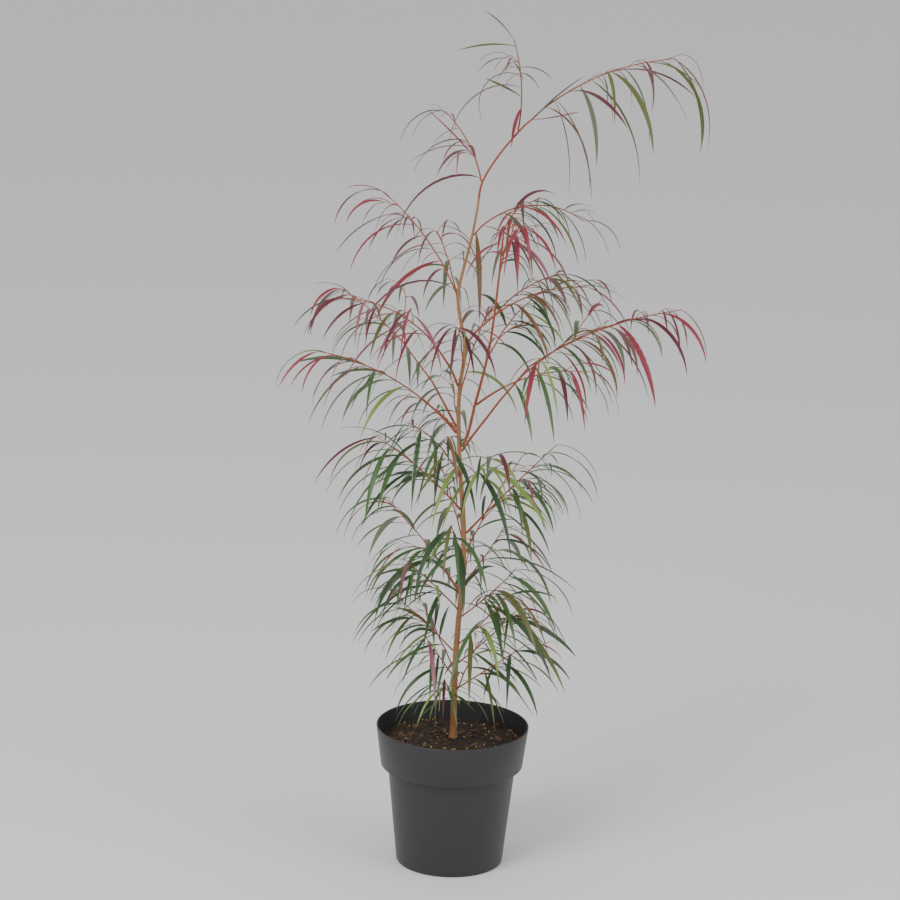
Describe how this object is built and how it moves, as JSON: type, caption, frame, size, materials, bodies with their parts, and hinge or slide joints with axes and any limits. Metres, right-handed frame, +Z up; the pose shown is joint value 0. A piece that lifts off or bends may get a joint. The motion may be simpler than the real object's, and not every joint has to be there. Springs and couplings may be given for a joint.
{
  "type": "potted burgundy willow myrtle",
  "caption": "Young weeping willow myrtle with burgundy tips and hanging narrow leaves, whole, in a charcoal 200 mm nursery pot.",
  "frame": {"origin": "middle of the flat underside of the pot", "axes": "+Z up through the plant, +X to the right of the view in the picture, +Y away from the viewer"},
  "size_m": [0.5683, 0.4142, 1.1719],
  "materials": {
    "pot": "matte",
    "mix": "rough",
    "bark": "satin",
    "foliage": "satin"
  },
  "bodies": {
    "root": {"back_middle_bough": "bark", "far_right_bough": "bark", "foliage_back_foot": "foliage", "foliage_back_high": "foliage", "foliage_back_low": "foliage", "foliage_back_middle": "foliage", "foliage_back_right": "foliage", "foliage_back_upper": "foliage", "foliage_far_right_lower": "foliage", "foliage_far_right_upper": "foliage", "foliage_foot_front": "foliage", "foliage_front_foot": "foliage", "foliage_front_high": "foliage", "foliage_front_low": "foliage", "foliage_front_middle": "foliage", "foliage_leader": "foliage", "foliage_left_back": "foliage", "foliage_left_foot": "foliage", "foliage_left_foot_back": "foliage", "foliage_left_foot_front": "foliage", "foliage_left_front": "foliage", "foliage_left_high": "foliage", "foliage_left_inner": "foliage", "foliage_left_low": "foliage", "foliage_left_low_front": "foliage", "foliage_left_middle": "foliage", "foliage_left_middle_high": "foliage", "foliage_right_arch": "foliage", "foliage_right_foot": "foliage", "foliage_right_front": "foliage", "foliage_right_inner": "foliage", "foliage_right_low": "foliage", "foliage_right_low_front": "foliage", "foliage_right_middle": "foliage", "foliage_second_back": "foliage", "foliage_second_high": "foliage", "foliage_second_low": "foliage", "foliage_second_middle": "foliage", "foliage_second_top": "foliage", "foliage_top_left": "foliage", "foliage_top_tuft": "foliage", "foliage_upper_left": "foliage", "foliage_upper_right": "foliage", "front_middle_bough": "bark", "left_back_bough": "bark", "left_front_bough": "bark", "left_high_bough": "bark", "left_middle_bough": "bark", "left_middle_high_bough": "bark", "main_stem": "bark", "pot": "pot", "potting_mix": "mix", "right_arch_bough": "bark", "right_front_bough": "bark", "right_middle_bough": "bark", "second_stem": "bark"}
  },
  "joints": []
}
